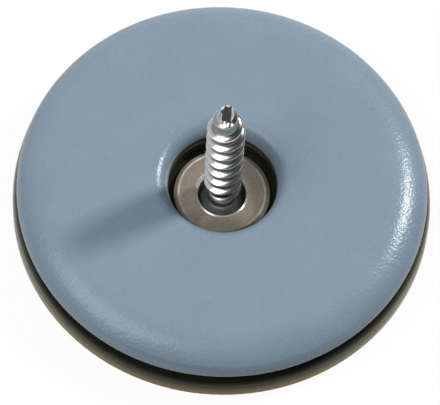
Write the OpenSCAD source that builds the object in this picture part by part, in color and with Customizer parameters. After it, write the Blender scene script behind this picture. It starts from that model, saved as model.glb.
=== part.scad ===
// Screw-on furniture slider: a rounded low-friction disc on a rubber cushion,
// a steel backing plate with a turned bush, and the wood screw that goes through it.
// Millimetres, +Z up. The origin is the centre of the plate's underside.

/* [Glide cap] */
// Widest diameter of the rounded disc
cap_diameter = 49; // [40:0.1:60]
// Height of the disc from its lower rim to its flat face
cap_height = 2.95; // [2.6:0.05:4]
// How far the rounded shoulder reaches in from the edge
cap_shoulder_reach = 4.55; // [4:0.05:6]
// Radius of the tighter round at the foot of the shoulder
cap_edge_radius = 1.9; // [1.5:0.1:2.2]
// Diameter of the centre hole at its narrowest
cap_hole_diameter = 13.1; // [12.8:0.1:15]
// Radius of the rolled lip round the centre hole
cap_lip_radius = 1.85; // [1:0.05:1.9]
// How far the outer rim hangs down round the cushion
cap_rim_depth = 1.05; // [0.6:0.05:1.05]
// Thickness of that hanging rim
cap_rim_wall = 1.8; // [1.4:0.1:3]
// Small round on the inner edge of that rim
cap_rim_round = 0.2; // [0.1:0.05:0.4]

/* [Rubber cushion] */
// Height of the cushion's open side, from the plate's rim to the disc's rim
cushion_wall_height = 2.1; // [1.6:0.1:3]
// Diameter of the cushion's centre hole
cushion_hole_diameter = 13; // [12.4:0.1:15]
// Round on the upper edge of the centre hole
cushion_hole_round = 0.5; // [0.2:0.05:0.8]
// Height of the ledge that closes round the bush
cushion_ledge_height = 1.3; // [0.8:0.1:1.6]
// Play between the cushion and the parts that it fits into
cushion_play = 0.05; // [0.02:0.01:0.1]

/* [Backing plate] */
// Diameter of the steel plate
plate_diameter = 50; // [41:0.1:61]
// Thickness of the steel plate's floor
plate_thickness = 1; // [0.8:0.1:1.2]
// Height of the plate's upturned rim
plate_rim_height = 2.2; // [2:0.1:2.6]
// Thickness of that rim
plate_rim_wall = 0.9; // [0.7:0.1:1.2]
// Height of the rim's straight side, above which the side rounds in to the disc
plate_side_height = 2; // [1.2:0.05:2]
// Round on the lower outer edge of the plate
plate_foot_round = 0.2; // [0.1:0.05:0.5]

/* [Screw bush] */
// Diameter of the bush's collar
bush_diameter = 11.5; // [11.2:0.1:12]
// Height of the collar above the plate
bush_collar_height = 2.3; // [1.9:0.1:2.6]
// Diameter of the spigot that is pressed into the plate
bush_spigot_diameter = 10.6; // [10:0.1:11]
// Radial play of the spigot in the plate
bush_spigot_play = 0.02; // [0.01:0.01:0.05]
// Width of the chamfer on the collar's upper edge
bush_chamfer_width = 0.55; // [0.3:0.05:0.7]
// Drop of that chamfer
bush_chamfer_drop = 0.3; // [0.2:0.05:0.5]
// Diameter of the hole through the bush
bush_bore_diameter = 5.8; // [5.2:0.1:6]
// Width of the bevel round the top of the hole
bush_bevel = 0.42; // [0.2:0.01:0.5]
// Gap between the bush and the screw's countersunk head
head_play = 0.25; // [0.2:0.01:0.35]

/* [Wood screw] */
// Length of the screw from its head's flat face to its point
screw_length = 25; // [20:0.5:35]
// Outer diameter of the threaded shank
thread_diameter = 4.5; // [4:0.1:4.8]
// Diameter of the plain neck under the head
neck_diameter = 3.4; // [3:0.1:3.8]
// Length of the plain neck
neck_length = 2.5; // [0.8:0.1:3]
// Length of the tapered point
point_length = 5.5; // [4:0.5:8]
// Diameter of the blunt end of the point
point_diameter = 0.9; // [0.3:0.05:1.2]
// Diameter of the countersunk head
head_diameter = 8.4; // [8:0.1:8.8]
// Height of the head's straight edge
head_edge_height = 0.4; // [0.2:0.05:0.5]
// Span of the cross recess in the head
recess_span = 4.6; // [4:0.1:5]
// Width of one wing of the cross recess
recess_wing = 1.05; // [0.8:0.05:1.3]
// Depth of the cross recess
recess_depth = 1.9; // [1.2:0.1:2.2]

/* [Hidden] */
// Curves are drawn with this many steps
$fn = 96;
// Cuts run this far past the faces that they open
overrun = 0.5;
// The point swells to this share of the shank's radius half way along it
point_swell_share = 0.74;
// The recess's middle is this share of its span wide at the mouth
recess_mouth_share = 0.56;
// The recess's middle is this share of its span wide at the bottom
recess_floor_share = 0.3;

// Heights above the floor
rim_z = plate_rim_height + cushion_wall_height;
face_z = rim_z + cap_height;
land_z = rim_z + cap_rim_depth;
ledge_z = plate_thickness + cushion_ledge_height;
collar_z = plate_thickness + bush_collar_height;

// Radii
cap_r = cap_diameter / 2;
cap_hole_r = cap_hole_diameter / 2;
flat_r = cap_r - cap_shoulder_reach;
rim_inner_r = cap_r - cap_rim_wall;
cushion_hole_r = cushion_hole_diameter / 2;
plate_r = plate_diameter / 2;
tray_r = plate_r - plate_rim_wall;
bush_r = bush_diameter / 2;
spigot_r = bush_spigot_diameter / 2;
bore_r = bush_bore_diameter / 2;
mouth_r = bore_r + bush_bevel;
head_r = head_diameter / 2;
neck_r = neck_diameter / 2;
thread_r = thread_diameter / 2;
point_r = point_diameter / 2;

// Radius of the rounded side that the plate's rim and the cushion share
side_round = rim_z - plate_side_height;

// Radius of the shoulder's upper arc, which is level at the flat face
// and runs without a break into the tighter round at its foot
shoulder_r = (cap_shoulder_reach ^ 2 - 2 * cap_shoulder_reach * cap_edge_radius + cap_height ^ 2)
  / (2 * (cap_height - cap_edge_radius));
// From the centre of the upper arc to the centre of the tighter one
lean = [cap_shoulder_reach - cap_edge_radius, shoulder_r - cap_height];

// The head's cone and the seat that it lies in both rise at 45 degrees
seat_r = head_r + head_play;
seat_top_z = head_edge_height + seat_r - bore_r;
head_top_z = head_edge_height + head_r - neck_r;
neck_top_z = head_top_z + neck_length;
thread_full_z = neck_top_z + thread_r - neck_r;
point_z = screw_length - point_length;
point_middle_z = screw_length - point_length / 2;

// Waste outside a round of the given radius, at an upper right corner that lies at the origin
module corner_waste(radius) {
  translate([-radius, -radius])
    difference() {
      square(radius + overrun);
      circle(radius);
    }
}

// Upper arc of the disc's shoulder, which ends on the line through both arcs' centres
module shoulder_arc() {
  translate([flat_r, face_z - shoulder_r])
    intersection() {
      circle(shoulder_r);
      polygon([[0, lean.y], lean, 2 * shoulder_r * lean / norm(lean), [0, 2 * shoulder_r]]);
    }
}

// Tighter arc at the foot of the shoulder, which starts on the same line
module edge_arc() {
  translate([cap_r - cap_edge_radius, rim_z])
    intersection() {
      circle(cap_edge_radius);
      polygon([[0, 0], [2 * cap_edge_radius, 0], 2 * cap_edge_radius * lean / norm(lean)]);
    }
}

// Half section of the disc before it is hollowed: a flat slab that ends in the rounded shoulder
module cap_blank() {
  translate([cap_hole_r, rim_z])
    square([flat_r - cap_hole_r, cap_height]);
  shoulder_arc();
  edge_arc();
}

// Half section of the disc: the rolled lip is cut at the hole, and the rim hangs down round the cushion
module cap_section() {
  difference() {
    cap_blank();
    translate([0, rim_z - overrun])
      square([rim_inner_r, cap_rim_depth + overrun]);
    translate([cap_hole_r, face_z])
      mirror([1, 0])
        corner_waste(cap_lip_radius);
    translate([rim_inner_r, rim_z])
      rotate(180)
        corner_waste(cap_rim_round);
  }
}

module glide_cap() {
  color([0.54, 0.61, 0.67])
    rotate_extrude()
      cap_section();
}

// Waste outside the rounded side, which runs from the rim's straight side up to the disc
module side_waste() {
  translate([plate_r, rim_z])
    corner_waste(side_round);
}

// Half section of the cushion's open side, which carries on the round of the plate's rim
module cushion_side() {
  difference() {
    translate([cushion_hole_r, plate_rim_height])
      square([plate_r - cushion_hole_r, cushion_wall_height]);
    side_waste();
  }
}

// Half section of the cushion: a plug in the plate's tray, a rounded side on the plate's rim,
// a raised land that fills the disc, and a ledge that closes round the bush
module cushion_section() {
  ledge_r = bush_r + cushion_play;
  difference() {
    union() {
      translate([ledge_r, plate_thickness])
        square([tray_r - cushion_play - ledge_r, plate_rim_height - plate_thickness]);
      cushion_side();
      translate([ledge_r, plate_rim_height])
        square([rim_inner_r - cushion_play - ledge_r, land_z - plate_rim_height]);
    }
    translate([0, ledge_z])
      square([cushion_hole_r, land_z]);
    translate([cushion_hole_r, land_z])
      mirror([1, 0])
        corner_waste(cushion_hole_round);
  }
}

module rubber_cushion() {
  color([0.08, 0.08, 0.07])
    rotate_extrude()
      cushion_section();
}

// Half section of the plate: a flat floor with a low rounded rim
module plate_section() {
  hole_r = spigot_r + bush_spigot_play;
  difference() {
    translate([hole_r, 0])
      square([plate_r - hole_r, plate_rim_height]);
    translate([0, plate_thickness])
      square([tray_r, plate_rim_height]);
    side_waste();
    translate([plate_r, 0])
      mirror([0, 1])
        corner_waste(plate_foot_round);
  }
}

module backing_plate() {
  color([0.47, 0.43, 0.38])
    rotate_extrude()
      plate_section();
}

// Turned bush: the collar stands on the plate, the spigot fills the plate's hole,
// and the countersink below lies parallel to the screw's head
module screw_bush() {
  color([0.5, 0.46, 0.41])
    rotate_extrude()
      polygon([
        [seat_r, 0],
        [spigot_r, 0],
        [spigot_r, plate_thickness],
        [bush_r, plate_thickness],
        [bush_r, collar_z - bush_chamfer_drop],
        [bush_r - bush_chamfer_width, collar_z],
        [mouth_r, collar_z],
        [bore_r, collar_z - bush_bevel],
        [bore_r, seat_top_z],
        [seat_r, head_edge_height]
      ]);
}

// One wing of the cross recess, sunk into the head's flat face
module recess_bar() {
  translate([-recess_span / 2, -recess_wing / 2, -overrun])
    cube([recess_span, recess_wing, recess_depth + overrun]);
}

// Tapered middle of the cross recess
module recess_middle() {
  mouth = recess_span * recess_mouth_share;
  bottom = recess_span * recess_floor_share;
  cylinder(d1 = mouth, d2 = bottom, h = recess_depth);
}

// Outline of the screw: countersunk head, plain neck, shank at the thread's crest, tapered point
module screw_section() {
  polygon([
    [0, 0],
    [head_r, 0],
    [head_r, head_edge_height],
    [neck_r, head_top_z],
    [neck_r, neck_top_z],
    [thread_r, thread_full_z],
    [thread_r, point_z],
    [thread_r * point_swell_share, point_middle_z],
    [point_r, screw_length],
    [0, screw_length]
  ]);
}

module wood_screw() {
  color([0.78, 0.79, 0.8])
    difference() {
      rotate_extrude()
        screw_section();
      recess_bar();
      rotate(90)
        recess_bar();
      recess_middle();
    }
}

glide_cap();
rubber_cushion();
backing_plate();
screw_bush();
wood_screw();
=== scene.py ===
"""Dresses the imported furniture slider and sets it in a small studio.

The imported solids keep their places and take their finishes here.
The wood screw is drawn again with its rolled thread, cut point and cross recess.
"""

import math

import bmesh
import bpy
from bpy.props import FloatProperty, FloatVectorProperty, IntProperty, PointerProperty
from mathutils import Matrix, Vector


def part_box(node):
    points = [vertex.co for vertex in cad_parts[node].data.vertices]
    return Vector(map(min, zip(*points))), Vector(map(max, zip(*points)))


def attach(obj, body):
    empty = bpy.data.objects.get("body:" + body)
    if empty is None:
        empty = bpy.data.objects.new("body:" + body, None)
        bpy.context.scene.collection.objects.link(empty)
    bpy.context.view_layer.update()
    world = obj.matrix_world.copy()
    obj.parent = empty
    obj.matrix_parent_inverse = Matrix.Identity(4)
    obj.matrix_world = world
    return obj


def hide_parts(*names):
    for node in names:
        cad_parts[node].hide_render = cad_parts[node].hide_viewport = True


bl_info = {
    "name": "Furniture Slider Dresser",
    "version": (1, 0, 0),
    "blender": (4, 5, 0),
    "location": "View3D > Sidebar > Slider",
    "description": "Finishes, screw thread and studio for a screw-on furniture slider",
    "category": "Object",
}

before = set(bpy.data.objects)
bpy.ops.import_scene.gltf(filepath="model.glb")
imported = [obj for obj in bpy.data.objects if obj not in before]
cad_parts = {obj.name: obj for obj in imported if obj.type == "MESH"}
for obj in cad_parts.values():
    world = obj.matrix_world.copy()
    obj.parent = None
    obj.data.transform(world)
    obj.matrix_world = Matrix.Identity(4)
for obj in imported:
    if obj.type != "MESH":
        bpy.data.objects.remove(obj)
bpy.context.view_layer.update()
SCREW_LOW, SCREW_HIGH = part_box("wood_screw")
CAP_LOW, CAP_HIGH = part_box("glide_cap")
PLATE_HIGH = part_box("backing_plate")[1]
CUSHION_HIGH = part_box("rubber_cushion")[1]


# Sizes and colours that a user would change


def length(name, description, default):
    """A length property in metres."""
    return FloatProperty(
        name=name, description=description, default=default, min=0.0, precision=5, unit="LENGTH")


def coordinate(name, description, default):
    """A length in metres that may be negative."""
    return FloatProperty(name=name, description=description, default=default, precision=6, unit="LENGTH")


def number(name, description, default):
    """A plain number property."""
    return FloatProperty(name=name, description=description, default=default)


def angle(name, description, default):
    """An angle property, given here in degrees."""
    return FloatProperty(
        name=name, description=description, default=math.radians(default), subtype="ANGLE")


def colour(name, description, default):
    """A colour property in linear light."""
    return FloatVectorProperty(
        name=name, description=description, default=default, size=3, min=0.0, max=1.0, subtype="COLOR")


class SliderFinishes(bpy.types.PropertyGroup):
    """Colours of the finishes."""

    plastic: colour("Plastic", "Grey-blue of the low-friction disc", (0.222, 0.304, 0.380))
    plastic_pale: colour("Plastic, pale", "Paler clouding in the disc", (0.240, 0.322, 0.397))
    # The speck colour is also the painted shade at the foot of the disc's rim
    plastic_speck_and_shade: colour("Plastic speck", "Fine dark filler in the disc", (0.150, 0.203, 0.258))
    rubber: colour("Rubber", "Black of the cushion", (0.007, 0.0075, 0.005))
    # This grey gives the bloom and also the painted highlight ring in the cushion's hole
    rubber_dust_and_highlight: colour("Rubber, dusty", "Grey bloom on the cushion", (0.150, 0.145, 0.110))
    rubber_gloss: colour("Rubber gloss", "Tint of the gloss on the cushion's side", (1.0, 0.97, 0.80))
    plate: colour("Plate", "Dark plating on the flat of the plate", (0.100, 0.082, 0.056))
    plate_foot: colour("Plate foot", "Brown of the plating at the foot of the rim", (0.130, 0.100, 0.048))
    plate_sheen: colour("Plate sheen", "Tint of the plating seen along its surface", (1.0, 0.97, 0.82))
    # plate_shaded is the painted shade at the top of the plate's rim, under the rubber
    plate_shaded: colour("Plate, dark", "Dark stain under the rubber", (0.010, 0.008, 0.005))
    plate_worn: colour("Plate, worn", "Brighter rubbed plating", (0.180, 0.155, 0.120))
    bush: colour("Bush", "Warm grey of the turned bush", (0.485, 0.415, 0.340))
    bush_dark: colour("Bush, dark", "Dark mottling of the turned bush", (0.360, 0.305, 0.246))
    # The bush's face is blended towards this colour towards its front
    bush_front_tone: colour("Bush, stained", "Olive stain on the front of the bush", (0.190, 0.190, 0.155))
    # bush_hole_shade is painted shade on the bush's steep walls, the wall of its hole among them
    bush_hole_shade: colour("Bush hole", "Dark wall of the hole through the bush", (0.150, 0.166, 0.145))
    # bush_highlight is the colour of the painted highlights on the bush's bevel, chamfer and corner line
    bush_highlight: colour("Bush, bright", "Bright edges of the turned bush", (0.900, 0.860, 0.780))
    zinc: colour("Zinc", "Bright zinc of the screw", (0.800, 0.808, 0.815))
    # This colour is the painted shade in the thread's roots and also the colour of the cutter's streaks in
    # the cut
    zinc_shade_and_streak: colour("Zinc, dull", "Dull zinc in the thread's roots", (0.130, 0.135, 0.140))
    # Partly the bare steel's own colour, partly painted shade for the notch at the point
    cut_steel_and_shade: colour("Cut steel", "Dark steel of the cut at the screw's point", (0.060, 0.062, 0.056))


class SliderScrew(bpy.types.PropertyGroup):
    """Sizes of the wood screw's thread, neck, head and point."""

    pitch: length("Pitch", "Rise of the thread in one turn", 0.0022)
    crest_radius: length("Crest radius", "Radius of the thread's crest", 0.00225)
    core_radius: length("Core radius", "Radius of the shank between the turns", 0.00158)
    neck_radius: length("Neck radius", "Radius of the plain neck", 0.0017)
    neck_top: length("Neck top", "Height where the neck runs into the core", 0.0054)
    cone_top: length("Cone top", "Height where the head's cone meets the neck", 0.0029)
    head_edge: length("Head edge", "Height of the head's straight edge", 0.0004)
    edge_round: length("Edge round", "Round on the head's edge", 0.00012)
    point_length: length("Point length", "Length of the tapered point", 0.0055)
    point_radius: length("Point radius", "Radius of the blunt end of the point", 0.00045)
    point_swell: number("Point swell", "Share of the full radius half way along the point", 0.69)
    recess_span: length("Recess span", "Span of the cross recess", 0.0046)
    recess_wing: length("Recess wing", "Width of one wing of the cross recess", 0.00105)
    recess_depth: length("Recess depth", "Depth of the cross recess", 0.0019)
    start_azimuth: angle("Start azimuth", "Direction in which the thread starts", 54.0)
    cut_azimuth: angle("Cut azimuth", "Direction that the cut at the point faces", 262.0)
    cut_slope: angle("Cut slope", "How far the cut faces upwards", 25.0)
    cut_offset: coordinate("Cut offset", "From the middle of the point's end to the cut", -0.00025)
    cut_length: length("Cut length", "How far the cut runs down from the end of the point", 0.0022)
    cut_margin: length("Cut margin", "How far the core lies under the cut", 0.00003)
    steps: IntProperty(name="Steps", description="Steps in one turn of the thread", default=64, min=12)


class SliderStudio(bpy.types.PropertyGroup):
    """Camera and light of the studio. Azimuths are counted from +X towards +Y."""

    distance: length("Distance", "From the camera to the aim point", 0.46503)
    elevation: angle("Elevation", "Height of the camera above the floor's plane", 63.545)
    roll: angle("Roll", "Turn of the camera about its own view", 3.841)
    focal_pixels: number("Focal length", "Focal length in pixels of the picture", 3867.7)
    aim_right: coordinate("Aim right", "Aim point along X", -0.000157)
    aim_back: coordinate("Aim back", "Aim point along Y", 0.000274)
    lamp_distance: length("Lamp distance", "From the lamps to the slider", 0.6)
    key_watts: number("Key light", "Power of the small key light", 2.4)
    key_width: length("Key width", "Width of the key light", 0.084)
    key_azimuth: angle("Key azimuth", "Direction of the key light", 31.0)
    key_elevation: angle("Key elevation", "Height of the key light", 40.5)
    window_watts: number("Window light", "Power of the broad light on the left", 1.45)
    window_width: length("Window width", "Width of the broad light", 0.37)
    window_azimuth: angle("Window azimuth", "Direction of the broad light", 208.0)
    window_elevation: angle("Window elevation", "Height of the broad light", 54.5)
    dome_low: number("Dome, dark", "Level of the dome on its dark side", 0.06)
    dome_high: number("Dome, bright", "Level of the dome on its bright side", 0.52)
    dome_azimuth: angle("Dome azimuth", "Direction of the dome's bright side", 160.0)
    dome_elevation: angle("Dome elevation", "Height of the dome's bright side", 15.0)
    floor_share: number("Floor glow", "Share of the floor that shows as plain white", 0.9)
    floor_glow: number("Floor level", "Level of that plain white", 1.05)
    floor_grey: number("Floor grey", "Grey of the floor where the light falls on it", 0.5)
    floor_width: length("Floor width", "Width of the square floor", 3.0)
    floor_drop: length("Floor drop", "Gap between the slider and the floor", 0.00002)


# Node trees written as expressions

# Where a Mix node has its factor and its two colours among its inputs, and the result among its outputs
MIX_FACTOR = 0
MIX_FIRST = 6
MIX_SECOND = 7
MIX_RESULT = 2


class Signal:
    """One output in a node tree. Arithmetic on it adds Math nodes."""

    def __init__(self, recipe, socket):
        self.recipe = recipe
        self.socket = socket

    def maths(self, operation, first, second):
        return self.recipe.add("ShaderNodeMath", {"operation": operation}, {0: first, 1: second})

    def __add__(self, other):
        return self.maths("ADD", self, other)

    def __radd__(self, other):
        return self.maths("ADD", other, self)

    def __sub__(self, other):
        return self.maths("SUBTRACT", self, other)

    def __rsub__(self, other):
        return self.maths("SUBTRACT", other, self)

    def __mul__(self, other):
        return self.maths("MULTIPLY", self, other)

    def __truediv__(self, other):
        return self.maths("DIVIDE", self, other)


class Recipe:
    """A node tree, with one way to add any node to it."""

    def __init__(self, tree):
        self.tree = tree

    def add(self, kind, settings=None, sockets=None, output=0):
        """Adds a node: its settings first, then the values or links of its sockets."""
        node = self.tree.nodes.new(kind)
        for key, value in (settings or {}).items():
            if key == "stops":
                self.set_stops(node.color_ramp, value)
            else:
                setattr(node, key, value)
        self.feed(node, sockets or {})
        return Signal(self, node.outputs[output])

    def feed(self, node, sockets):
        """Sets or links a node's sockets."""
        for key, value in sockets.items():
            if isinstance(value, Signal):
                self.tree.links.new(value.socket, node.inputs[key])
            else:
                node.inputs[key].default_value = value

    def set_stops(self, ramp, stops):
        """Gives a colour ramp its stops, as pairs of place and grey."""
        while len(ramp.elements) < len(stops):
            ramp.elements.new(1.0)
        for element, (place, grey) in zip(ramp.elements, stops):
            element.position = place
            element.color = (grey, grey, grey, 1.0)

    def place(self):
        """Coordinates of the surface in metres, which stay with the piece."""
        return self.add("ShaderNodeTexCoord", output="Object")

    def noise(self, vector, scale, detail=2.0, roughness=0.5):
        """Soft noise with so many lumps to the metre."""
        sockets = {"Vector": vector, "Scale": scale, "Detail": detail, "Roughness": roughness}
        return self.add("ShaderNodeTexNoise", {}, sockets)

    def rings(self, radius, scale, detail=2.0):
        """Noise that changes only with the radius, as a lathe tool leaves it."""
        sockets = {"W": radius, "Scale": scale, "Detail": detail}
        return self.add("ShaderNodeTexNoise", {"noise_dimensions": "1D"}, sockets)

    def ramp(self, value, stops):
        """A grey curve through the given stops."""
        return self.add("ShaderNodeValToRGB", {"stops": stops}, {"Fac": value})

    def blend(self, factor, first, second):
        """A mix of two colours."""
        settings = {"data_type": "RGBA", "clamp_factor": True}
        sockets = {MIX_FACTOR: factor, MIX_FIRST: first, MIX_SECOND: second}
        return self.add("ShaderNodeMix", settings, sockets, output=MIX_RESULT)

    def stretch(self, vector, shares):
        """A vector with each of its parts multiplied."""
        return self.add("ShaderNodeVectorMath", {"operation": "MULTIPLY"}, {0: vector, 1: shares})

    def radius(self, place):
        """Distance from the screw's axis."""
        flat = self.stretch(place, (1.0, 1.0, 0.0))
        return self.add("ShaderNodeVectorMath", {"operation": "LENGTH"}, {0: flat}, output="Value")

    def height(self, vector):
        """Upward part of a vector."""
        return self.add("ShaderNodeSeparateXYZ", {}, {"Vector": vector}, output="Z")

    def depth(self, vector):
        """Part of a vector along Y, towards the back."""
        return self.add("ShaderNodeSeparateXYZ", {}, {"Vector": vector}, output="Y")

    def rise(self, value, low, high):
        """Zero below one value, one above another, and even in between."""
        return self.add("ShaderNodeMapRange", {}, {"Value": value, "From Min": low, "From Max": high})

    def bump(self, height, distance, strength=1.0):
        """A surface normal from a height in the range 0 to 1."""
        sockets = {"Height": height, "Distance": distance, "Strength": strength}
        return self.add("ShaderNodeBump", {}, sockets)


def opaque(rgb):
    """A colour with full alpha."""
    return (rgb[0], rgb[1], rgb[2], 1.0)


def new_finish(name):
    """A new material, its recipe and its shader."""
    material = bpy.data.materials.new(name)
    material.use_nodes = True
    shader = material.node_tree.nodes["Principled BSDF"]
    return material, Recipe(material.node_tree), shader


def mix_into(material, recipe, shader, share, other):
    """Shows another shader in place of a share of the material's own one."""
    own = Signal(recipe, shader.outputs["BSDF"])
    mixed = recipe.add("ShaderNodeMixShader", {}, {0: share, 1: own, 2: other})
    recipe.feed(material.node_tree.nodes["Material Output"], {"Surface": mixed})


# Plastic of the disc

# Lumps to the metre of the clouding, the filler and the moulded grain
CLOUD_SCALE = 160.0
FILLER_SCALE = 2600.0
GRAIN_SCALE = 3000.0
# Depth of the moulded grain
GRAIN_DEPTH = 0.000044
# Where the clouding and the filler start to show in their noise, and where they are full
CLOUD_STOPS = [(0.35, 0.0), (0.65, 1.0)]
FILLER_STOPS = [(0.60, 0.0), (0.74, 1.0)]
# How strongly the filler darkens the disc
FILLER_SHARE = 0.55
# How strongly painted shade darkens the foot of the rim, and how high up the disc the painted shade reaches
FOOT_SHADE_SHARE = 0.85
FOOT_SHADE_HEIGHT_SHARE = 0.65
# Roughness of the plastic, and what the clouding and the grain add to it
PLASTIC_ROUGHNESS = 0.22
CLOUD_ROUGHNESS = 0.05
GRAIN_ROUGHNESS = 0.06
PLASTIC_IOR = 1.45


def plastic_finish(colours):
    """Satin grey-blue plastic with faint clouding, fine dark filler, a moulded grain and painted shade at the
    foot of its rim.
    """
    material, recipe, shader = new_finish("glide_plastic")
    place = recipe.place()
    clouds = recipe.noise(place, CLOUD_SCALE, detail=4.0)
    filler = recipe.noise(place, FILLER_SCALE, detail=3.0, roughness=0.7)
    grain = recipe.noise(place, GRAIN_SCALE)
    cloudy = recipe.ramp(clouds, CLOUD_STOPS)
    base = recipe.blend(cloudy, opaque(colours.plastic), opaque(colours.plastic_pale))
    # Painted shade: the disc darkens towards the foot of its rim, blended to the speck colour along with the
    # filler
    shade_top = CAP_LOW[2] + (CAP_HIGH[2] - CAP_LOW[2]) * FOOT_SHADE_HEIGHT_SHARE
    foot_shade = 1.0 - recipe.rise(recipe.height(place), CAP_LOW[2], shade_top)
    dark = recipe.ramp(filler, FILLER_STOPS) * FILLER_SHARE + foot_shade * FOOT_SHADE_SHARE
    recipe.feed(shader, {
        "Base Color": recipe.blend(dark, base, opaque(colours.plastic_speck_and_shade)),
        "Roughness": PLASTIC_ROUGHNESS + clouds * CLOUD_ROUGHNESS + grain * GRAIN_ROUGHNESS,
        "Normal": recipe.bump(grain, GRAIN_DEPTH),
        "IOR": PLASTIC_IOR,
    })
    return material


# Rubber of the cushion

# Lumps to the metre of the bloom and the pits
BLOOM_SCALE = 420.0
PIT_SCALE = 4200.0
# Depth of the pits, and how strongly they show
PIT_DEPTH = 0.00002
PIT_STRENGTH = 0.3
# How strongly the bloom greys the rubber
BLOOM_SHARE = 0.06
# Painted highlight ring in the hole, a light line under the disc's lip: its place as a share of the cushion's
# height, and its strength there
HIGHLIGHT_RING_STOPS = [(0.79, 0.0), (0.82, 1.0), (0.85, 1.0), (0.90, 0.0)]
# Where the highlight ring is broken, and where it is whole, in the bloom's noise
BREAK_STOPS = [(0.40, 0.25), (0.60, 1.0)]
# How much lighter the rest of the hole's wall is made
HOLE_LIGHTENING_SHARE = 0.12
# The lighter wall of the hole ends between these shares of the cushion's radius
HOLE_SHARE = 0.28
HOLE_END_SHARE = 0.30
# Roughness of the dull rubber, what the pits add to it, and roughness of its gloss
RUBBER_ROUGHNESS = 0.34
PIT_ROUGHNESS = 0.14
GLOSS_ROUGHNESS = 0.2
RUBBER_SPECULAR = 0.02
GLOSS_IOR = 1.5
# How far from square on the rubber is seen where its gloss starts and where it is full
GLOSS_START = 0.22
GLOSS_FULL = 0.60
# The middle setting, at which the facing value is even
EVEN_BLEND = 0.5


def rubber_finish(colours):
    """Black rubber with a fine pitted skin, a gloss where it is seen edge on, a painted highlight ring in its
    hole and a lighter wall in that hole.
    """
    material, recipe, shader = new_finish("cushion_rubber")
    place = recipe.place()
    bloom = recipe.noise(place, BLOOM_SCALE, detail=5.0, roughness=0.6)
    pits = recipe.noise(place, PIT_SCALE, detail=3.0)
    skin = recipe.bump(pits, PIT_DEPTH, PIT_STRENGTH)
    hole = CUSHION_HIGH[0] * HOLE_SHARE
    hole_end = CUSHION_HIGH[0] * HOLE_END_SHARE
    inside = 1.0 - recipe.rise(recipe.radius(place), hole, hole_end)
    # Painted highlight: a broken light ring high on the hole's wall; the rest of that wall is made lighter as
    # well
    highlight_ring = recipe.ramp(recipe.height(place) / CUSHION_HIGH[2], HIGHLIGHT_RING_STOPS)
    highlight_ring_and_lighter_hole = (highlight_ring * recipe.ramp(bloom, BREAK_STOPS) + HOLE_LIGHTENING_SHARE) * inside
    grey = highlight_ring_and_lighter_hole + bloom * BLOOM_SHARE
    recipe.feed(shader, {
        "Base Color": recipe.blend(grey, opaque(colours.rubber), opaque(colours.rubber_dust_and_highlight)),
        "Roughness": RUBBER_ROUGHNESS + pits * PIT_ROUGHNESS,
        "Normal": skin,
        "Specular IOR Level": RUBBER_SPECULAR,
    })
    gloss = recipe.add("ShaderNodeBsdfPrincipled", {}, {
        "Base Color": opaque(colours.rubber_gloss),
        "Metallic": 1.0,
        "Roughness": GLOSS_ROUGHNESS,
        "Normal": skin,
    })
    edge_on = recipe.add("ShaderNodeLayerWeight", {}, {"Blend": EVEN_BLEND}, output="Facing")
    mirror = recipe.add("ShaderNodeFresnel", {}, {"IOR": GLOSS_IOR})
    mix_into(material, recipe, shader, mirror * recipe.rise(edge_on, GLOSS_START, GLOSS_FULL), gloss)
    return material


# Plating of the backing plate

# Lumps to the metre of the lathe marks, the rubbing and the fine scuffs
LATHE_SCALE = 9000.0
RUB_SCALE = 260.0
SCUFF_SCALE = 6000.0
# Depth of the marks, how strongly they show, and the shares of the two kinds
MARK_DEPTH = 0.000006
MARK_STRENGTH = 0.6
LATHE_SHARE = 0.7
SCUFF_SHARE = 0.3
# Where the rubbing starts to show in its noise and where it is full
RUB_STOPS = [(0.40, 0.0), (0.70, 1.0)]
# How much of the rubbing shows on the rim
RIM_RUB_SHARE = 0.1
# The plate's rim starts at this share of its radius
RIM_SHARE = 0.985
# Painted shade on the rim starts at this share of its height, and takes off this share of the metal's shine
RIM_SHADE_STOPS = [(0.42, 0.0), (1.0, 1.0)]
SHADE_DULLING = 0.8
# Roughness of the plating, and what the rubbing, the scuffs and the flat faces add to it
PLATE_ROUGHNESS = 0.22
RUB_ROUGHNESS = 0.10
SCUFF_ROUGHNESS = 0.06
FLAT_ROUGHNESS = 0.08
PLATE_SPECULAR = 0.05


def plate_finish(colours):
    """Dark plated steel: brown at the foot of its rim, painted shade darkening the rim up towards the rubber,
    rubbed on its flat faces.
    """
    material, recipe, shader = new_finish("plate_steel")
    place = recipe.place()
    radius = recipe.radius(place)
    lathe = recipe.rings(radius, LATHE_SCALE, detail=3.0)
    rubbed = recipe.noise(place, RUB_SCALE, detail=5.0, roughness=0.6)
    scuffs = recipe.noise(place, SCUFF_SCALE)
    flat = 1.0 - recipe.rise(radius, PLATE_HIGH[0] * RIM_SHARE, PLATE_HIGH[0])
    climb = recipe.rise(recipe.height(place), 0.0, PLATE_HIGH[2])
    # Painted shade: the rim darkens and loses its shine from its foot up towards the rubber
    darkening = recipe.ramp(climb, RIM_SHADE_STOPS) * (1.0 - flat)
    rim = recipe.blend(climb, opaque(colours.plate_foot), opaque(colours.plate_shaded))
    plated = recipe.blend(flat, rim, opaque(colours.plate))
    worn = recipe.ramp(rubbed, RUB_STOPS) * (flat * (1.0 - RIM_RUB_SHARE) + RIM_RUB_SHARE)
    grain = rubbed * RUB_ROUGHNESS + scuffs * SCUFF_ROUGHNESS
    recipe.feed(shader, {
        "Base Color": recipe.blend(worn, plated, opaque(colours.plate_worn)),
        "Metallic": 1.0 - darkening * SHADE_DULLING,
        "Roughness": PLATE_ROUGHNESS + grain + flat * FLAT_ROUGHNESS,
        "Normal": recipe.bump(lathe * LATHE_SHARE + scuffs * SCUFF_SHARE, MARK_DEPTH, MARK_STRENGTH),
        "Specular IOR Level": PLATE_SPECULAR,
        "Specular Tint": opaque(colours.plate_sheen),
    })
    return material


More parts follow.
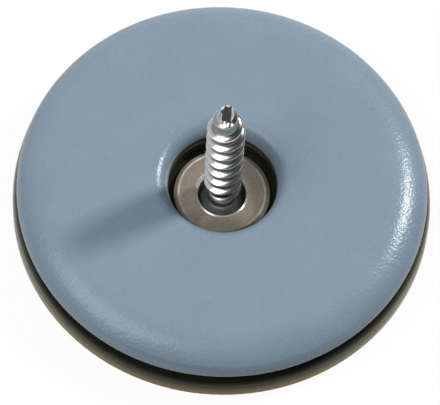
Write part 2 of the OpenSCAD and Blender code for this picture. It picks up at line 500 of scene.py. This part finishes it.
# Steel of the bush

# Lumps to the metre of the mottling and the stains
MOTTLE_SCALE = 3600.0
STAIN_SCALE = 700.0
# Depth of the mottling, and how strongly it shows
MOTTLE_DEPTH = 0.00002
MOTTLE_STRENGTH = 0.5
MOTTLE_STOPS = [(0.35, 0.0), (0.68, 1.0)]
# How far up the bevel, the chamfer and the face look: their surfaces are told apart by it
BEVEL_STOPS = [(0.55, 0.0), (0.65, 1.0), (0.75, 1.0), (0.82, 0.0)]
CHAMFER_STOPS = [(0.82, 0.0), (0.86, 1.0), (0.90, 1.0), (0.97, 0.0)]
FACE_START = 0.2
FACE_FULL = 0.5
# Radius of the corner between the face and the chamfer, and half the width of the painted highlight line
# along it
CORNER_RADIUS = 0.0052
LINE_HALF = 0.0002
# Where the painted highlight line is broken, and where it is whole, in the stains' noise
LINE_STOPS = [(0.38, 0.15), (0.62, 1.0)]
# How far to the front of the bush's middle its darker tone starts and where it is full
FRONT_START = 0.0026
FRONT_FULL = 0.0044
# Where the darker tone is strong, and where it is weak, in the mottling's noise
FRONT_STOPS = [(0.35, 1.0), (0.65, 0.6)]
# How strongly painted highlights brighten the bevel and the chamfer
BEVEL_HIGHLIGHT = 0.8
CHAMFER_HIGHLIGHT = 0.3
# How much the chamfer, the bevel and the painted highlight line scatter light in place of mirroring it
CHAMFER_DULLING = 0.5
BEVEL_DULLING = 0.4
LINE_DULLING = 0.9
# Roughness of the steel, what the stains add to it and what the bevel takes off
BUSH_ROUGHNESS = 0.40
STAIN_ROUGHNESS = 0.12
BEVEL_POLISH = 0.16


def bush_finish(colours):
    """Rough plated steel: a mottled face that darkens towards its front, painted highlights on its edges and
    painted shade on the wall of its hole.
    """
    material, recipe, shader = new_finish("bush_steel")
    place = recipe.place()
    mottle = recipe.noise(place, MOTTLE_SCALE, detail=4.0, roughness=0.65)
    stains = recipe.noise(place, STAIN_SCALE, detail=3.0)
    level = recipe.height(recipe.add("ShaderNodeNewGeometry", output="True Normal"))
    bevel = recipe.ramp(level, BEVEL_STOPS)
    chamfer = recipe.ramp(level, CHAMFER_STOPS)
    face = recipe.rise(level, FACE_START, FACE_FULL)
    radius = recipe.radius(place)
    inner = recipe.rise(radius, CORNER_RADIUS - LINE_HALF, CORNER_RADIUS)
    outer = 1.0 - recipe.rise(radius, CORNER_RADIUS, CORNER_RADIUS + LINE_HALF)
    highlight_line = inner * outer * recipe.ramp(stains, LINE_STOPS)
    blotch = recipe.ramp(mottle, MOTTLE_STOPS)
    mottled = recipe.blend(blotch, opaque(colours.bush_dark), opaque(colours.bush))
    # The face darkens towards its front
    front = 1.0 - recipe.rise(recipe.depth(place), -FRONT_FULL, -FRONT_START)
    tone = recipe.blend(front * recipe.ramp(mottle, FRONT_STOPS), mottled, opaque(colours.bush_front_tone))
    away_from_front = 1.0 - front
    # Painted highlights: the bevel, the chamfer and a broken line along the corner are brightened, less so at
    # the front
    bright = bevel * BEVEL_HIGHLIGHT + (chamfer * CHAMFER_HIGHLIGHT + highlight_line) * away_from_front
    highlighted = recipe.blend(bright, tone, opaque(colours.bush_highlight))
    dulling = bevel * BEVEL_DULLING + (chamfer * CHAMFER_DULLING + highlight_line * LINE_DULLING) * away_from_front
    recipe.feed(shader, {
        # Painted shade: the steep walls, the hole's wall among them, take a dark colour
        "Base Color": recipe.blend(face, opaque(colours.bush_hole_shade), highlighted),
        "Metallic": 1.0 - dulling,
        "Roughness": BUSH_ROUGHNESS + stains * STAIN_ROUGHNESS - bevel * BEVEL_POLISH,
        "Normal": recipe.bump(mottle, MOTTLE_DEPTH, MOTTLE_STRENGTH),
    })
    return material


# Zinc and cut steel of the screw

# Lumps to the metre of the zinc's spangle and of the cutter's streaks
SPANGLE_SCALE = 1500.0
STREAK_SCALE = 5200.0
# The streaks are drawn out along the screw, to this share of their fineness
STREAK_SHARES = (1.0, 1.0, 0.15)
# Depths of the two, and how strongly they show
SPANGLE_DEPTH = 0.000008
SPANGLE_STRENGTH = 0.5
STREAK_DEPTH = 0.00001
STREAK_STRENGTH = 0.6
# The thread's root as a share of its depth, and how strongly painted shade darkens it
ROOT_STOPS = [(0.0, 1.0), (0.45, 0.0)]
ROOT_SHADE_SHARE = 0.85
# How much of that painted shade is missing at the end of the point
POINT_SHARE = 0.9
# Where the streaks start to show in their noise and where they are full, and how bright they are
STREAK_STOPS = [(0.40, 0.0), (0.66, 1.0)]
STREAK_BRIGHTNESS = 0.6
# Roughness of the zinc, and what the spangle and the roots add to it
ZINC_ROUGHNESS = 0.13
SPANGLE_ROUGHNESS = 0.12
ROOT_ROUGHNESS = 0.10
# Roughness of the cut, and what the streaks add to it
CUT_ROUGHNESS = 0.34
STREAK_ROUGHNESS = 0.16


def zinc_finish(colours, sizes):
    """Bright zinc, lightly spangled, with painted shade in the roots of the thread but less so at the point.
    """
    material, recipe, shader = new_finish("screw_zinc")
    place = recipe.place()
    spangle = recipe.noise(place, SPANGLE_SCALE, detail=4.0)
    depth = (recipe.radius(place) - sizes.core_radius) / (sizes.crest_radius - sizes.core_radius)
    point = SCREW_HIGH[2] - sizes.point_length
    bright = recipe.rise(recipe.height(place), point, SCREW_HIGH[2]) * POINT_SHARE
    # Painted shade: the thread's roots darken, less so towards the point
    root = recipe.ramp(depth, ROOT_STOPS) * (1.0 - bright)
    recipe.feed(shader, {
        "Base Color": recipe.blend(root * ROOT_SHADE_SHARE, opaque(colours.zinc), opaque(colours.zinc_shade_and_streak)),
        "Metallic": 1.0,
        "Roughness": ZINC_ROUGHNESS + spangle * SPANGLE_ROUGHNESS + root * ROOT_ROUGHNESS,
        "Normal": recipe.bump(spangle, SPANGLE_DEPTH, SPANGLE_STRENGTH),
    })
    return material


def cut_finish(colours):
    """Bare steel of the cut, painted dark for the shade in the notch at the point, with the streaks of the
    cutter.
    """
    material, recipe, shader = new_finish("point_cut_steel")
    streaks = recipe.noise(recipe.stretch(recipe.place(), STREAK_SHARES), STREAK_SCALE, detail=3.0)
    bright = recipe.ramp(streaks, STREAK_STOPS) * STREAK_BRIGHTNESS
    recipe.feed(shader, {
        # The cut is painted dark for the notch's shade; the streaks lighten it
        "Base Color": recipe.blend(bright, opaque(colours.cut_steel_and_shade), opaque(colours.zinc_shade_and_streak)),
        "Metallic": 1.0,
        "Roughness": CUT_ROUGHNESS + streaks * STREAK_ROUGHNESS,
        "Normal": recipe.bump(streaks, STREAK_DEPTH, STREAK_STRENGTH),
    })
    return material


# Shapes

# Half a ridge of the thread: place as a share of the pitch, rise as a share of its depth
RIDGE_SHARES = [
    (0.03, 1.00),
    (0.05, 0.95),
    (0.105, 0.50),
    (0.165, 0.06),
    (0.19, 0.00),
    (0.27, 0.00),
    (0.35, 0.00),
    (0.43, 0.00),
    (0.50, 0.00),
]
# The thread starts this share of its pitch below the top of the neck
START_SHARE = 0.85
# The thread fades in over this share of a turn
FADE_SHARE = 0.85
# The point is swollen at this share of its length
SWELL_SHARE = 0.5
# Corners closer than this share of the pitch are joined
WELD_SHARE = 0.001
# A group of fewer faces than this, which hangs by itself, is a sliver
SLIVER_FACES = 100
# The core ends as this share of the point's blunt radius
CORE_TIP_SHARE = 0.7
# The core inside the thread is this share of the thread's root
INNER_SHARE = 0.97
# Rings of corners along the core's point
CORE_RINGS = 22
# The cut runs down this much further in the core than in the thread
CORE_CUT_SHARE = 1.25
# The recess's cutter starts this share of its depth outside the head
RECESS_START_SHARE = 0.2
# The recess's wings are this share of their span at the bottom
RECESS_FLOOR_SHARE = 0.55
# Corners of a box's six faces, where its lower four corners come first
BOX_FACES = [(3, 2, 1, 0), (4, 5, 6, 7), (0, 1, 5, 4), (1, 2, 6, 5), (2, 3, 7, 6), (3, 0, 4, 7)]
# Faces that meet at more than this angle keep a sharp edge
SHARP_ANGLE = math.radians(38.0)


def heading(azimuth, elevation):
    """Unit vector of a direction. Azimuth is counted from +X towards +Y."""
    level = math.cos(elevation)
    return Vector((level * math.cos(azimuth), level * math.sin(azimuth), math.sin(elevation)))


def dress(node, material):
    """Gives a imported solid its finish."""
    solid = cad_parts[node]
    solid.data.materials.clear()
    solid.data.materials.append(material)


def new_object(name, mesh):
    """Puts a finished mesh in the scene as an object."""
    data = bpy.data.meshes.new(name)
    mesh.to_mesh(data)
    mesh.free()
    piece = bpy.data.objects.new(name, data)
    bpy.context.scene.collection.objects.link(piece)
    return piece


def revolve(mesh, outline, steps):
    """Adds a closed surface of revolution. The outline's (radius, height) pairs start and end on the axis."""
    turns = [math.tau * step / steps for step in range(steps)]
    rings = []
    for radius, height in outline:
        if radius == 0.0:
            rings.append([mesh.verts.new((0.0, 0.0, height))])
        else:
            spots = [(radius * math.cos(turn), radius * math.sin(turn), height) for turn in turns]
            rings.append([mesh.verts.new(spot) for spot in spots])
    for lower, upper in zip(rings, rings[1:]):
        for step in range(steps):
            after = (step + 1) % steps
            corners = [lower[step % len(lower)], lower[after % len(lower)]]
            corners += [upper[after % len(upper)], upper[step % len(upper)]]
            mesh.faces.new(list(dict.fromkeys(corners)))


def taper(height, start, end, full, tip, swell):
    """Radius of the point at a height: full below it, swollen half way, blunt at the tip."""
    share = min(max((height - start) / (end - start), 0.0), 1.0)
    swollen = full * swell
    if share < SWELL_SHARE:
        return full + (swollen - full) * share / SWELL_SHARE
    return swollen + (tip - swollen) * (share - SWELL_SHARE) / (1.0 - SWELL_SHARE)


def thread(mesh, sizes, tip):
    """Adds the rolled thread as one skin that winds up the shank to the tip. Returns its corners."""
    ridge = [(-place, rise) for place, rise in reversed(RIDGE_SHARES)] + RIDGE_SHARES
    point = tip - sizes.point_length
    start = sizes.neck_top - sizes.pitch * START_SHARE
    count = math.ceil((tip - start + sizes.pitch / 2.0) / sizes.pitch * sizes.steps)
    core_tip = sizes.point_radius * CORE_TIP_SHARE
    rows = []
    for step in range(count + 1):
        turn = sizes.start_azimuth + math.tau * step / sizes.steps
        middle = start + sizes.pitch * step / sizes.steps
        fade = min(step / sizes.steps / FADE_SHARE, 1.0)
        row = []
        for place, rise in ridge:
            height = min(middle + place * sizes.pitch, tip)
            core = taper(height, point, tip, sizes.core_radius, core_tip, sizes.point_swell)
            crest = taper(height, point, tip, sizes.crest_radius, sizes.point_radius, sizes.point_swell)
            radius = core + (crest - core) * rise * fade
            row.append(mesh.verts.new((radius * math.cos(turn), radius * math.sin(turn), height)))
        rows.append(row)
    for before, after in zip(rows, rows[1:]):
        for low in range(len(ridge) - 1):
            mesh.faces.new([before[low], after[low], after[low + 1], before[low + 1]])
    return [corner for row in rows for corner in row]


def screw_outline(sizes, low, tip, head):
    """Outline of the head, the neck and the core inside the thread."""
    inner = sizes.core_radius * INNER_SHARE
    point = tip - sizes.point_length
    end = sizes.point_radius * CORE_TIP_SHARE * INNER_SHARE
    core = []
    for step in range(CORE_RINGS + 1):
        height = point + sizes.point_length * step / CORE_RINGS
        core.append((taper(height, point, tip, inner, end, sizes.point_swell), height))
    return [
        (0.0, low),
        (head - sizes.edge_round, low),
        (head, low + sizes.edge_round),
        (head, low + sizes.head_edge - sizes.edge_round),
        (head - sizes.edge_round, low + sizes.head_edge),
        (sizes.neck_radius + sizes.edge_round, sizes.cone_top - sizes.edge_round),
        (sizes.neck_radius, sizes.cone_top + sizes.edge_round),
        (sizes.neck_radius, sizes.neck_top - sizes.edge_round),
        (inner, sizes.neck_top + sizes.edge_round),
        *core,
        (0.0, tip),
    ]


def recess_cutter(sizes, low):
    """A tapered cross that sinks into the head's flat face."""
    mesh = bmesh.new()
    mouth = low - sizes.recess_depth * RECESS_START_SHARE
    bottom = low + sizes.recess_depth
    wing = sizes.recess_wing / 2.0
    for quarter in (0.0, math.pi / 2.0):
        turn = Matrix.Rotation(quarter, 4, "Z")
        corners = []
        for height, share in ((mouth, 1.0), (bottom, RECESS_FLOOR_SHARE)):
            half = sizes.recess_span / 2.0 * share
            for x, y in ((-half, -wing), (half, -wing), (half, wing), (-half, wing)):
                corners.append(mesh.verts.new(turn @ Vector((x, y, height))))
        for face in BOX_FACES:
            mesh.faces.new([corners[index] for index in face])
    return new_object("recess_cutter", mesh)


def cut_away(piece, cutter):
    """Cuts one mesh out of another and drops the cutter."""
    modifier = piece.modifiers.new("recess", "BOOLEAN")
    modifier.operation = "DIFFERENCE"
    modifier.solver = "EXACT"
    modifier.use_self = True
    modifier.object = cutter
    depsgraph = bpy.context.evaluated_depsgraph_get()
    cut = bpy.data.meshes.new_from_object(piece.evaluated_get(depsgraph))
    piece.modifiers.clear()
    piece.data = cut
    bpy.data.objects.remove(cutter)


def mill_point(corners, sizes, tip, depth, margin):
    """Flattens corners of the point, down to a depth, onto the cut less a margin. Returns those it moved."""
    normal = heading(sizes.cut_azimuth, sizes.cut_slope)
    origin = Vector((0.0, 0.0, tip)) + normal * (sizes.cut_offset - margin)
    moved = set()
    for corner in corners:
        over = (corner.co - origin).dot(normal)
        if over > 0.0 and corner.co.z > tip - depth:
            corner.co -= normal * over
            moved.add(corner)
    return moved


def screw_blank(sizes, low, tip, head):
    """The head, neck and core of the screw, with the cross recess cut into the head."""
    mesh = bmesh.new()
    revolve(mesh, screw_outline(sizes, low, tip, head), sizes.steps)
    mill_point(mesh.verts, sizes, tip, sizes.cut_length * CORE_CUT_SHARE, sizes.cut_margin)
    bmesh.ops.recalc_face_normals(mesh, faces=mesh.faces)
    screw = new_object("screw_with_thread", mesh)
    cut_away(screw, recess_cutter(sizes, low))
    return screw


def face_group(first, seen):
    """All faces that hang together with the first one, over edges that two faces share."""
    group = [first]
    seen.add(first)
    for face in group:
        for edge in face.edges:
            if len(edge.link_faces) == 2:
                fresh = [other for other in edge.link_faces if other not in seen]
                seen.update(fresh)
                group += fresh
    return group


def find_slivers(mesh):
    """The faces of every group that is too small to be a piece of the screw."""
    seen = set()
    slivers = []
    for face in mesh.faces:
        if face not in seen:
            group = face_group(face, seen)
            if len(group) < SLIVER_FACES:
                slivers += group
    return slivers


def drop_slivers(mesh, height):
    """Deletes the tiny groups of faces, above a height, that the cut folds over along its edge."""
    cut_faces = [face for face in mesh.faces if face.calc_center_median().z > height]
    bmesh.ops.triangulate(mesh, faces=cut_faces)
    slivers = find_slivers(mesh)
    while slivers:
        bmesh.ops.delete(mesh, geom=slivers, context="FACES")
        slivers = find_slivers(mesh)


def wind_thread(screw, sizes, tip):
    """Winds the thread round the blank and cuts its point. The cut takes the second finish."""
    mesh = bmesh.new()
    mesh.from_mesh(screw.data)
    moved = mill_point(thread(mesh, sizes, tip), sizes, tip, sizes.cut_length, 0.0)
    for face in mesh.faces:
        face.smooth = True
        if all(corner in moved for corner in face.verts):
            face.material_index = 1
            face.smooth = False
    bmesh.ops.remove_doubles(mesh, verts=mesh.verts, dist=sizes.pitch * WELD_SHARE)
    drop_slivers(mesh, tip - sizes.cut_length)
    mesh.to_mesh(screw.data)
    mesh.free()
    screw.data.set_sharp_from_angle(angle=SHARP_ANGLE)


# Studio

# Pixels across the picture, and millimetres across the camera's sensor
IMAGE_WIDTH = 440
SENSOR_WIDTH = 36.0
# The camera sees what lies between these distances, in metres
NEAREST_SEEN = 0.01
FARTHEST_SEEN = 10.0
FLOOR_ROUGHNESS = 0.9
WHITE = (1.0, 1.0, 1.0, 1.0)
# How squarely the dome faces its bright side where it starts to brighten and where it is full
DOME_START = -0.14
DOME_FULL = 0.40


def soft_light(name, watts, width, towards, distance):
    """Adds a square soft light that faces the slider."""
    lamp = bpy.data.lights.new(name, "AREA")
    lamp.energy = watts
    lamp.size = width
    light = bpy.data.objects.new(name, lamp)
    light.location = towards * distance
    light.rotation_mode = "QUATERNION"
    light.rotation_quaternion = towards.to_track_quat("Z", "Y")
    light.visible_camera = False
    bpy.context.scene.collection.objects.link(light)


def seen_flag(recipe):
    """One where the ray comes from the camera, a reflection or a see-through surface."""
    camera = recipe.add("ShaderNodeLightPath", output="Is Camera Ray")
    glossy = recipe.add("ShaderNodeLightPath", output="Is Glossy Ray")
    through = recipe.add("ShaderNodeLightPath", output="Is Transmission Ray")
    return camera + glossy + through


def lay_floor(studio):
    """A white table that keeps the slider's shadow."""
    half = studio.floor_width / 2.0
    corners = [(-half, -half), (half, -half), (half, half), (-half, half)]
    data = bpy.data.meshes.new("floor")
    data.from_pydata([(x, y, -studio.floor_drop) for x, y in corners], [], [(0, 1, 2, 3)])
    floor = bpy.data.objects.new("floor", data)
    bpy.context.scene.collection.objects.link(floor)
    material, recipe, shader = new_finish("white_table")
    grey = (studio.floor_grey, studio.floor_grey, studio.floor_grey, 1.0)
    recipe.feed(shader, {"Base Color": grey, "Roughness": FLOOR_ROUGHNESS, "Specular IOR Level": 0.0})
    glow = recipe.add("ShaderNodeEmission", {}, {"Color": WHITE, "Strength": studio.floor_glow})
    mix_into(material, recipe, shader, seen_flag(recipe) * studio.floor_share, glow)
    data.materials.append(material)


def light_dome(studio):
    """A dome of light with a bright and a dark side, which the camera sees as white."""
    world = bpy.data.worlds.new("studio_dome")
    world.use_nodes = True
    bpy.context.scene.world = world
    recipe = Recipe(world.node_tree)
    sky = recipe.add("ShaderNodeTexCoord", output="Generated")
    bright = heading(studio.dome_azimuth, studio.dome_elevation)
    product = {"operation": "DOT_PRODUCT"}
    facing = recipe.add("ShaderNodeVectorMath", product, {0: sky, 1: bright}, output="Value")
    side = recipe.rise(facing, DOME_START, DOME_FULL)
    level = side * (studio.dome_high - studio.dome_low) + studio.dome_low
    camera = recipe.add("ShaderNodeLightPath", output="Is Camera Ray")
    strength = level * (1.0 - camera) + camera
    recipe.feed(world.node_tree.nodes["Background"], {"Color": WHITE, "Strength": strength})


def set_camera(studio):
    """A camera at the photograph's viewing angle."""
    lens = bpy.data.cameras.new("studio_camera")
    lens.sensor_width = SENSOR_WIDTH
    lens.sensor_fit = "HORIZONTAL"
    lens.lens = studio.focal_pixels / IMAGE_WIDTH * SENSOR_WIDTH
    lens.clip_start = NEAREST_SEEN
    lens.clip_end = FARTHEST_SEEN
    camera = bpy.data.objects.new("studio_camera", lens)
    back = Vector((0.0, -math.cos(studio.elevation), math.sin(studio.elevation)))
    level_right = Vector((1.0, 0.0, 0.0))
    level_up = back.cross(level_right)
    right = level_right * math.cos(studio.roll) + level_up * math.sin(studio.roll)
    up = level_up * math.cos(studio.roll) - level_right * math.sin(studio.roll)
    aim = Vector((studio.aim_right, studio.aim_back, 0.0))
    turn = Matrix((right, up, back)).transposed().to_4x4()
    camera.matrix_world = Matrix.Translation(aim + back * studio.distance) @ turn
    bpy.context.scene.collection.objects.link(camera)
    bpy.context.scene.camera = camera


# Operators


class SLIDER_OT_dress_disc(bpy.types.Operator):
    """Give the rounded disc its satin plastic"""

    bl_idname = "slider.dress_disc"
    bl_label = "Dress Disc"

    def execute(self, context):
        dress("glide_cap", plastic_finish(context.scene.slider_finishes))
        return {"FINISHED"}


class SLIDER_OT_dress_cushion(bpy.types.Operator):
    """Give the cushion its black rubber"""

    bl_idname = "slider.dress_cushion"
    bl_label = "Dress Cushion"

    def execute(self, context):
        dress("rubber_cushion", rubber_finish(context.scene.slider_finishes))
        return {"FINISHED"}


class SLIDER_OT_dress_plate(bpy.types.Operator):
    """Give the backing plate its plated steel"""

    bl_idname = "slider.dress_plate"
    bl_label = "Dress Plate"

    def execute(self, context):
        dress("backing_plate", plate_finish(context.scene.slider_finishes))
        return {"FINISHED"}


class SLIDER_OT_dress_bush(bpy.types.Operator):
    """Give the bush its turned steel"""

    bl_idname = "slider.dress_bush"
    bl_label = "Dress Bush"

    def execute(self, context):
        dress("screw_bush", bush_finish(context.scene.slider_finishes))
        return {"FINISHED"}


class SLIDER_OT_make_screw(bpy.types.Operator):
    """Draw the wood screw with its thread, cut point and cross recess"""

    bl_idname = "slider.make_screw"
    bl_label = "Make Screw"

    def execute(self, context):
        sizes = context.scene.slider_screw
        colours = context.scene.slider_finishes
        tip = SCREW_HIGH[2]
        screw = screw_blank(sizes, SCREW_LOW[2], tip, SCREW_HIGH[0])
        wind_thread(screw, sizes, tip)
        screw.data.materials.append(zinc_finish(colours, sizes))
        screw.data.materials.append(cut_finish(colours))
        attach(screw, "screw")
        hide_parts("wood_screw")
        return {"FINISHED"}


class SLIDER_OT_set_studio(bpy.types.Operator):
    """Lay the white table, hang the lights and set the camera"""

    bl_idname = "slider.set_studio"
    bl_label = "Set Studio"

    def execute(self, context):
        studio = context.scene.slider_studio
        lay_floor(studio)
        light_dome(studio)
        key = heading(studio.key_azimuth, studio.key_elevation)
        window = heading(studio.window_azimuth, studio.window_elevation)
        soft_light("key_light", studio.key_watts, studio.key_width, key, studio.lamp_distance)
        soft_light("window_light", studio.window_watts, studio.window_width, window, studio.lamp_distance)
        set_camera(studio)
        context.scene.view_settings.view_transform = "Standard"
        return {"FINISHED"}


class SLIDER_PT_tools(bpy.types.Panel):
    """Lists the slider's sizes, colours and steps"""

    bl_idname = "SLIDER_PT_tools"
    bl_label = "Furniture Slider"
    bl_space_type = "VIEW_3D"
    bl_region_type = "UI"
    bl_category = "Slider"

    def draw(self, context):
        for operator in OPERATORS:
            self.layout.operator(operator.bl_idname)
        for group_name in GROUPS:
            group = getattr(context.scene, group_name)
            box = self.layout.box()
            for name in group.__annotations__:
                box.prop(group, name)


GROUPS = {
    "slider_finishes": SliderFinishes,
    "slider_screw": SliderScrew,
    "slider_studio": SliderStudio,
}
OPERATORS = [
    SLIDER_OT_dress_disc,
    SLIDER_OT_dress_cushion,
    SLIDER_OT_dress_plate,
    SLIDER_OT_dress_bush,
    SLIDER_OT_make_screw,
    SLIDER_OT_set_studio,
]


def register():
    """Registers every class and hangs the property groups on the scene."""
    for item in [*GROUPS.values(), *OPERATORS, SLIDER_PT_tools]:
        bpy.utils.register_class(item)
    for name, group in GROUPS.items():
        setattr(bpy.types.Scene, name, PointerProperty(type=group))


def unregister():
    """Takes everything back out."""
    for name in GROUPS:
        delattr(bpy.types.Scene, name)
    for item in [SLIDER_PT_tools, *OPERATORS, *GROUPS.values()]:
        bpy.utils.unregister_class(item)


def main():
    """Runs every step in order."""
    register()
    bpy.ops.slider.dress_disc()
    bpy.ops.slider.dress_cushion()
    bpy.ops.slider.dress_plate()
    bpy.ops.slider.dress_bush()
    bpy.ops.slider.make_screw()
    bpy.ops.slider.set_studio()
    bpy.context.view_layer.update()


if __name__ == "__main__":
    main()
